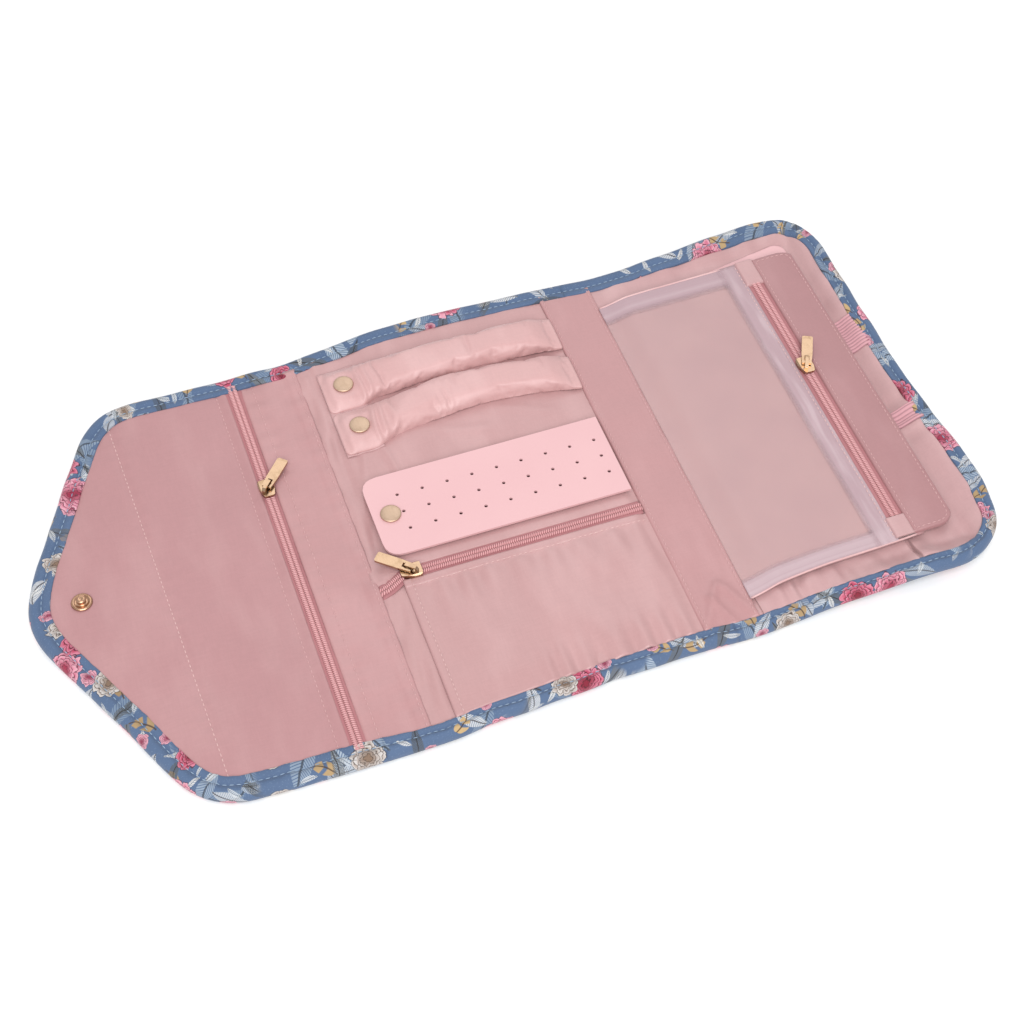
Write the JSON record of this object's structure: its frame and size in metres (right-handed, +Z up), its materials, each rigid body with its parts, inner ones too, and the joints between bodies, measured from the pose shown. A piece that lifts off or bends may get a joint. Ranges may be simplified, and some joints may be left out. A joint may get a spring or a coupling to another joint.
{
  "type": "jewelry roll",
  "caption": "Folding travel jewelry roll lying open, with a pointed snap flap, padded ring bars, a pierced earring plate, zipped pockets and a turning pouch page.",
  "frame": {"origin": "on the surface it lies on, under the middle of the open roll", "axes": "+X from the flap's tip to the end panel, +Y to the long side with the ring bars, +Z up out of the lining"},
  "size_m": [0.406, 0.216, 0.0164],
  "materials": {
    "floral_print": "printed cotton in blue with pink blossoms",
    "dusty_rose_satin": "satin",
    "light_satin": "satin",
    "lining_pink": "satin",
    "foam": "soft foam",
    "zip_pink": "woven tape with a nylon coil",
    "champagne_gold": "plated, satin bright",
    "pink_leatherette": "smooth coated sheet",
    "frosted_window": "frosted clear film",
    "pale_tape": "whitish film tape",
    "elastic": "ribbed elastic"
  },
  "bodies": {
    "middle": {"middle_cover": "floral_print", "middle_padding": "foam", "middle_lining": "light_satin", "middle_rim_far": "floral_print", "middle_rim_near": "floral_print", "ring_bar_base": "light_satin", "ring_bar_1_snap_stud": "champagne_gold", "ring_bar_2_snap_stud": "champagne_gold", "earring_plate_snap_stud": "champagne_gold", "middle_zip_upper": "zip_pink", "middle_zip_lower": "zip_pink", "middle_pocket_face": "light_satin"},
    "flap_spine": {"flap_spine_cover": "floral_print", "flap_spine_padding": "foam", "flap_spine_strip": "dusty_rose_satin", "flap_spine_rim_far": "floral_print", "flap_spine_rim_near": "floral_print", "flap_zip_left": "zip_pink", "flap_zip_right": "zip_pink"},
    "flap": {"flap_cover": "floral_print", "flap_padding": "foam", "flap_pocket_backing": "dusty_rose_satin", "flap_pocket_face": "dusty_rose_satin", "flap_rim": "floral_print", "flap_snap_rivet": "champagne_gold", "flap_snap_stud": "champagne_gold"},
    "end_spine": {"end_spine_cover": "floral_print", "end_spine_padding": "foam", "end_spine_strip": "dusty_rose_satin", "end_spine_rim_far": "floral_print", "end_spine_rim_near": "floral_print"},
    "end_panel": {"end_cover": "floral_print", "end_padding": "foam", "end_lining": "lining_pink", "end_rim": "floral_print", "end_snap_socket": "champagne_gold", "necklace_card": "pink_leatherette", "wide_elastic_band": "elastic", "narrow_elastic_band": "elastic", "necklace_pocket": "lining_pink"},
    "page": {"page_back": "dusty_rose_satin", "page_border": "pale_tape", "page_window": "frosted_window", "page_zip_left": "zip_pink", "page_zip_right": "zip_pink", "page_zip_tab_far": "lining_pink", "page_zip_tab_near": "lining_pink", "page_end_strip": "dusty_rose_satin"},
    "ring_bar_1": {"ring_bar_1": "light_satin", "ring_bar_1_snap_cap": "champagne_gold"},
    "ring_bar_2": {"ring_bar_2": "light_satin", "ring_bar_2_snap_cap": "champagne_gold"},
    "earring_plate": {"earring_plate": "pink_leatherette", "earring_plate_snap_cap": "champagne_gold"},
    "flap_slider": {"flap_slider": "champagne_gold"},
    "flap_pull_tab": {"flap_pull_tab": "champagne_gold"},
    "middle_slider": {"middle_slider": "champagne_gold"},
    "middle_pull_tab": {"middle_pull_tab": "champagne_gold"},
    "page_slider": {"page_slider": "champagne_gold"},
    "page_pull_tab": {"page_pull_tab": "champagne_gold"}
  },
  "joints": [
    {"name": "flap_spine_fold", "type": "hinge", "parent": "middle", "child": "flap_spine", "pos_m": [-0.0635, 0, 0.0055], "axis": [0, -1, 0], "range_deg": [-90, 0]},
    {"name": "flap_fold", "type": "hinge", "parent": "flap_spine", "child": "flap", "pos_m": [-0.098, 0, 0.0055], "axis": [0, -1, 0], "range_deg": [-90, 0]},
    {"name": "end_spine_fold", "type": "hinge", "parent": "middle", "child": "end_spine", "pos_m": [0.0615, 0, 0.0055], "axis": [0, 1, 0], "range_deg": [-90, 0]},
    {"name": "end_fold", "type": "hinge", "parent": "end_spine", "child": "end_panel", "pos_m": [0.086, 0, 0.0055], "axis": [0, 1, 0], "range_deg": [-90, 0]},
    {"name": "page_turn", "type": "hinge", "parent": "end_panel", "child": "page", "pos_m": [0.0881, 0, 0.01], "axis": [0, -1, 0], "range_deg": [0, 115]},
    {"name": "ring_bar_1_lift", "type": "hinge", "parent": "middle", "child": "ring_bar_1", "pos_m": [0.0594, 0.0797, 0.0082], "axis": [0, 1, 0], "range_deg": [0, 60]},
    {"name": "ring_bar_2_lift", "type": "hinge", "parent": "middle", "child": "ring_bar_2", "pos_m": [0.0594, 0.0542, 0.0082], "axis": [0, 1, 0], "range_deg": [0, 60]},
    {"name": "earring_plate_lift", "type": "hinge", "parent": "middle", "child": "earring_plate", "pos_m": [0.0594, 0.0024, 0.0099], "axis": [0, 1, 0], "range_deg": [0, 60]},
    {"name": "flap_zip_slide", "type": "slide", "parent": "flap_spine", "child": "flap_slider", "axis": [0, 1, 0], "range_m": [-0.13, 0.0525]},
    {"name": "flap_tab_lift", "type": "hinge", "parent": "flap_slider", "child": "flap_pull_tab", "pos_m": [-0.0905, 0.0355, 0.01052], "axis": [0.7431, -0.6691, 0], "range_deg": [0, 170]},
    {"name": "middle_zip_slide", "type": "slide", "parent": "middle", "child": "middle_slider", "axis": [1, 0, 0], "range_m": [0, 0.098]},
    {"name": "middle_tab_lift", "type": "hinge", "parent": "middle_slider", "child": "middle_pull_tab", "pos_m": [-0.0449, -0.0282, 0.01137], "axis": [0.6561, 0.7547, 0], "range_deg": [0, 170]},
    {"name": "page_zip_slide", "type": "slide", "parent": "page", "child": "page_slider", "axis": [0, 1, 0], "range_m": [-0.0865, 0.049]},
    {"name": "page_tab_lift", "type": "hinge", "parent": "page_slider", "child": "page_pull_tab", "pos_m": [0.1607, 0.0185, 0.01467], "axis": [0.8988, -0.4384, 0], "range_deg": [0, 170]}
  ]
}
